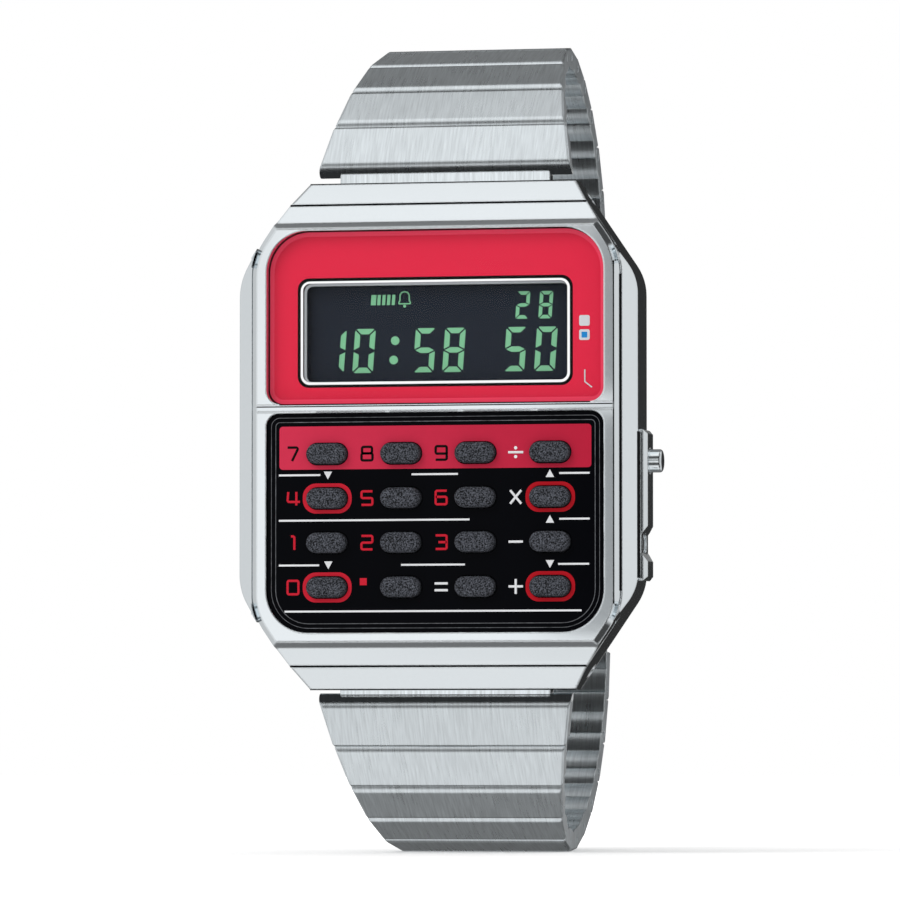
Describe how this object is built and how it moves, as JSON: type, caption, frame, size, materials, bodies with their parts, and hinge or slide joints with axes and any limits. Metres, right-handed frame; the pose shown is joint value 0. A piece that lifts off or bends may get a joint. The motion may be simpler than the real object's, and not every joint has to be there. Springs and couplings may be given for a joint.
{
  "type": "calculator watch",
  "caption": "Steel calculator watch: octagonal case, red-framed display, keypad of sprung pill keys, side pushers and a closed, tapering link bracelet with a folding clasp.",
  "frame": {"origin": "centre of the case back's flat face, which lies on the wrist", "axes": "+X to 3 o'clock, +Z to 12 o'clock, +Y out of the case back towards the wrist; the dial faces -Y"},
  "size_m": [0.0361, 0.0425, 0.07],
  "materials": {
    "polished_steel": "mirror polished stainless steel",
    "brushed_steel": "lengthwise brushed stainless steel",
    "crystal_glass": "clear mineral glass",
    "red_film": "red coating seen through the glass",
    "silver_frame": "bright silver",
    "display_dark": "dark negative display",
    "black_gloss": "glossy black",
    "key_rubber": "fine grained dark grey rubber",
    "mat_rubber": "smooth rubber",
    "board_green": "lacquered board",
    "module_black": "matt black moulding",
    "battery_steel": "satin steel can"
  },
  "bodies": {
    "case": {"case_body": "polished_steel", "bezel": "polished_steel", "crystal": "crystal_glass", "display_mask": "red_film", "display_frame": "silver_frame", "lcd_panel": "display_dark", "key_plate": "black_gloss", "keypad_mat": "mat_rubber", "circuit_board": "board_green", "module_frame": "module_black", "battery": "battery_steel", "case_gasket": "mat_rubber", "case_back": "brushed_steel", "case_back_screws": "polished_steel", "spring_bars": "brushed_steel"},
    "key_7": {"key_7": "key_rubber"},
    "key_8": {"key_8": "key_rubber"},
    "key_9": {"key_9": "key_rubber"},
    "key_divide": {"key_divide": "key_rubber"},
    "key_4": {"key_4": "key_rubber"},
    "key_5": {"key_5": "key_rubber"},
    "key_6": {"key_6": "key_rubber"},
    "key_multiply": {"key_multiply": "key_rubber"},
    "key_1": {"key_1": "key_rubber"},
    "key_2": {"key_2": "key_rubber"},
    "key_3": {"key_3": "key_rubber"},
    "key_minus": {"key_minus": "key_rubber"},
    "key_0": {"key_0": "key_rubber"},
    "key_point": {"key_point": "key_rubber"},
    "key_equals": {"key_equals": "key_rubber"},
    "key_plus": {"key_plus": "key_rubber"},
    "mode_pusher": {"mode_pusher": "polished_steel"},
    "adjust_pusher": {"adjust_pusher": "polished_steel"},
    "upper_link_01": {"upper_link_01": "brushed_steel"},
    "upper_link_02": {"upper_link_02": "brushed_steel"},
    "upper_link_03": {"upper_link_03": "brushed_steel"},
    "upper_link_04": {"upper_link_04": "brushed_steel"},
    "upper_link_05": {"upper_link_05": "brushed_steel"},
    "upper_link_06": {"upper_link_06": "brushed_steel"},
    "upper_link_07": {"upper_link_07": "brushed_steel"},
    "upper_link_08": {"upper_link_08": "brushed_steel"},
    "upper_link_09": {"upper_link_09": "brushed_steel"},
    "upper_link_10": {"upper_link_10": "brushed_steel"},
    "upper_link_11": {"upper_link_11": "brushed_steel"},
    "clasp_frame": {"clasp_frame": "brushed_steel"},
    "clasp_cover": {"clasp_cover": "brushed_steel"},
    "clasp_lever": {"clasp_lever": "brushed_steel"},
    "lower_link_01": {"lower_link_01": "brushed_steel"},
    "lower_link_02": {"lower_link_02": "brushed_steel"},
    "lower_link_03": {"lower_link_03": "brushed_steel"},
    "lower_link_04": {"lower_link_04": "brushed_steel"},
    "lower_link_05": {"lower_link_05": "brushed_steel"},
    "lower_link_06": {"lower_link_06": "brushed_steel"},
    "lower_link_07": {"lower_link_07": "brushed_steel"},
    "lower_link_08": {"lower_link_08": "brushed_steel"},
    "lower_link_09": {"lower_link_09": "brushed_steel"},
    "lower_link_10": {"lower_link_10": "brushed_steel"},
    "lower_link_11": {"lower_link_11": "brushed_steel"},
    "lower_link_12": {"lower_link_12": "brushed_steel"},
    "end_plate": {"end_plate": "brushed_steel"}
  },
  "joints": [
    {"name": "key_7_press", "type": "slide", "parent": "case", "child": "key_7", "axis": [0, 1, 0], "range_m": [0, 0.0005], "stiffness_N_per_m": 400},
    {"name": "key_8_press", "type": "slide", "parent": "case", "child": "key_8", "axis": [0, 1, 0], "range_m": [0, 0.0005], "stiffness_N_per_m": 400},
    {"name": "key_9_press", "type": "slide", "parent": "case", "child": "key_9", "axis": [0, 1, 0], "range_m": [0, 0.0005], "stiffness_N_per_m": 400},
    {"name": "key_divide_press", "type": "slide", "parent": "case", "child": "key_divide", "axis": [0, 1, 0], "range_m": [0, 0.0005], "stiffness_N_per_m": 400},
    {"name": "key_4_press", "type": "slide", "parent": "case", "child": "key_4", "axis": [0, 1, 0], "range_m": [0, 0.0005], "stiffness_N_per_m": 400},
    {"name": "key_5_press", "type": "slide", "parent": "case", "child": "key_5", "axis": [0, 1, 0], "range_m": [0, 0.0005], "stiffness_N_per_m": 400},
    {"name": "key_6_press", "type": "slide", "parent": "case", "child": "key_6", "axis": [0, 1, 0], "range_m": [0, 0.0005], "stiffness_N_per_m": 400},
    {"name": "key_multiply_press", "type": "slide", "parent": "case", "child": "key_multiply", "axis": [0, 1, 0], "range_m": [0, 0.0005], "stiffness_N_per_m": 400},
    {"name": "key_1_press", "type": "slide", "parent": "case", "child": "key_1", "axis": [0, 1, 0], "range_m": [0, 0.0005], "stiffness_N_per_m": 400},
    {"name": "key_2_press", "type": "slide", "parent": "case", "child": "key_2", "axis": [0, 1, 0], "range_m": [0, 0.0005], "stiffness_N_per_m": 400},
    {"name": "key_3_press", "type": "slide", "parent": "case", "child": "key_3", "axis": [0, 1, 0], "range_m": [0, 0.0005], "stiffness_N_per_m": 400},
    {"name": "key_minus_press", "type": "slide", "parent": "case", "child": "key_minus", "axis": [0, 1, 0], "range_m": [0, 0.0005], "stiffness_N_per_m": 400},
    {"name": "key_0_press", "type": "slide", "parent": "case", "child": "key_0", "axis": [0, 1, 0], "range_m": [0, 0.0005], "stiffness_N_per_m": 400},
    {"name": "key_point_press", "type": "slide", "parent": "case", "child": "key_point", "axis": [0, 1, 0], "range_m": [0, 0.0005], "stiffness_N_per_m": 400},
    {"name": "key_equals_press", "type": "slide", "parent": "case", "child": "key_equals", "axis": [0, 1, 0], "range_m": [0, 0.0005], "stiffness_N_per_m": 400},
    {"name": "key_plus_press", "type": "slide", "parent": "case", "child": "key_plus", "axis": [0, 1, 0], "range_m": [0, 0.0005], "stiffness_N_per_m": 400},
    {"name": "mode_pusher_press", "type": "slide", "parent": "case", "child": "mode_pusher", "axis": [-1, 0, 0], "range_m": [0, 0.0008], "stiffness_N_per_m": 800},
    {"name": "adjust_pusher_press", "type": "slide", "parent": "case", "child": "adjust_pusher", "axis": [-1, 0, 0], "range_m": [0, 0.0004], "stiffness_N_per_m": 800},
    {"name": "upper_link_01_hinge", "type": "hinge", "parent": "case", "child": "upper_link_01", "pos_m": [0, -0.0032, 0.0199], "axis": [1, 0, 0], "range_deg": [0, 15]},
    {"name": "upper_link_02_hinge", "type": "hinge", "parent": "upper_link_01", "child": "upper_link_02", "pos_m": [0, -0.00104, 0.0266], "axis": [1, 0, 0], "range_deg": [0, 16]},
    {"name": "upper_link_03_hinge", "type": "hinge", "parent": "upper_link_02", "child": "upper_link_03", "pos_m": [0, 0.0019, 0.02961], "axis": [1, 0, 0], "range_deg": [0, 16]},
    {"name": "upper_link_04_hinge", "type": "hinge", "parent": "upper_link_03", "child": "upper_link_04", "pos_m": [0, 0.00544, 0.03186], "axis": [1, 0, 0], "range_deg": [0, 16]},
    {"name": "upper_link_05_hinge", "type": "hinge", "parent": "upper_link_04", "child": "upper_link_05", "pos_m": [0, 0.00941, 0.03323], "axis": [1, 0, 0], "range_deg": [0, 16]},
    {"name": "upper_link_06_hinge", "type": "hinge", "parent": "upper_link_05", "child": "upper_link_06", "pos_m": [0, 0.01359, 0.03365], "axis": [1, 0, 0], "range_deg": [0, 16]},
    {"name": "upper_link_07_hinge", "type": "hinge", "parent": "upper_link_06", "child": "upper_link_07", "pos_m": [0, 0.01775, 0.03311], "axis": [1, 0, 0], "range_deg": [0, 16]},
    {"name": "upper_link_08_hinge", "type": "hinge", "parent": "upper_link_07", "child": "upper_link_08", "pos_m": [0, 0.02168, 0.03162], "axis": [1, 0, 0], "range_deg": [0, 16]},
    {"name": "upper_link_09_hinge", "type": "hinge", "parent": "upper_link_08", "child": "upper_link_09", "pos_m": [0, 0.02516, 0.02926], "axis": [1, 0, 0], "range_deg": [0, 16]},
    {"name": "upper_link_10_hinge", "type": "hinge", "parent": "upper_link_09", "child": "upper_link_10", "pos_m": [0, 0.028, 0.02617], "axis": [1, 0, 0], "range_deg": [0, 16]},
    {"name": "upper_link_11_hinge", "type": "hinge", "parent": "upper_link_10", "child": "upper_link_11", "pos_m": [0, 0.03006, 0.02251], "axis": [1, 0, 0], "range_deg": [0, 16]},
    {"name": "clasp_frame_hinge", "type": "hinge", "parent": "upper_link_11", "child": "clasp_frame", "pos_m": [0, 0.03121, 0.01847], "axis": [1, 0, 0], "range_deg": [0, 16]},
    {"name": "clasp_cover_hinge", "type": "hinge", "parent": "clasp_frame", "child": "clasp_cover", "pos_m": [0, 0.03237, 0.01512], "axis": [1, 0, 0], "range_deg": [0, 100]},
    {"name": "clasp_lever_hinge", "type": "hinge", "parent": "clasp_frame", "child": "clasp_lever", "pos_m": [0, 0.03315, -0.00196], "axis": [1, 0, 0], "range_deg": [0, 75]},
    {"name": "lower_link_01_hinge", "type": "hinge", "parent": "case", "child": "lower_link_01", "pos_m": [0, -0.0032, -0.0199], "axis": [-1, 0, 0], "range_deg": [0, 15]},
    {"name": "lower_link_02_hinge", "type": "hinge", "parent": "lower_link_01", "child": "lower_link_02", "pos_m": [0, -0.00123, -0.02641], "axis": [-1, 0, 0], "range_deg": [0, 16]},
    {"name": "lower_link_03_hinge", "type": "hinge", "parent": "lower_link_02", "child": "lower_link_03", "pos_m": [0, 0.00152, -0.02958], "axis": [-1, 0, 0], "range_deg": [0, 16]},
    {"name": "lower_link_04_hinge", "type": "hinge", "parent": "lower_link_03", "child": "lower_link_04", "pos_m": [0, 0.00491, -0.03206], "axis": [-1, 0, 0], "range_deg": [0, 16]},
    {"name": "lower_link_05_hinge", "type": "hinge", "parent": "lower_link_04", "child": "lower_link_05", "pos_m": [0, 0.00877, -0.03372], "axis": [-1, 0, 0], "range_deg": [0, 16]},
    {"name": "lower_link_06_hinge", "type": "hinge", "parent": "lower_link_05", "child": "lower_link_06", "pos_m": [0, 0.0129, -0.03448], "axis": [-1, 0, 0], "range_deg": [0, 16]},
    {"name": "lower_link_07_hinge", "type": "hinge", "parent": "lower_link_06", "child": "lower_link_07", "pos_m": [0, 0.01709, -0.0343], "axis": [-1, 0, 0], "range_deg": [0, 16]},
    {"name": "lower_link_08_hinge", "type": "hinge", "parent": "lower_link_07", "child": "lower_link_08", "pos_m": [0, 0.02115, -0.03318], "axis": [-1, 0, 0], "range_deg": [0, 16]},
    {"name": "lower_link_09_hinge", "type": "hinge", "parent": "lower_link_08", "child": "lower_link_09", "pos_m": [0, 0.02484, -0.03119], "axis": [-1, 0, 0], "range_deg": [0, 16]},
    {"name": "lower_link_10_hinge", "type": "hinge", "parent": "lower_link_09", "child": "lower_link_10", "pos_m": [0, 0.028, -0.02843], "axis": [-1, 0, 0], "range_deg": [0, 16]},
    {"name": "lower_link_11_hinge", "type": "hinge", "parent": "lower_link_10", "child": "lower_link_11", "pos_m": [0, 0.03047, -0.02502], "axis": [-1, 0, 0], "range_deg": [0, 16]},
    {"name": "lower_link_12_hinge", "type": "hinge", "parent": "lower_link_11", "child": "lower_link_12", "pos_m": [0, 0.03211, -0.02116], "axis": [-1, 0, 0], "range_deg": [0, 16]},
    {"name": "end_plate_hinge", "type": "hinge", "parent": "lower_link_12", "child": "end_plate", "pos_m": [0, 0.03284, -0.01702], "axis": [-1, 0, 0], "range_deg": [0, 16]}
  ]
}
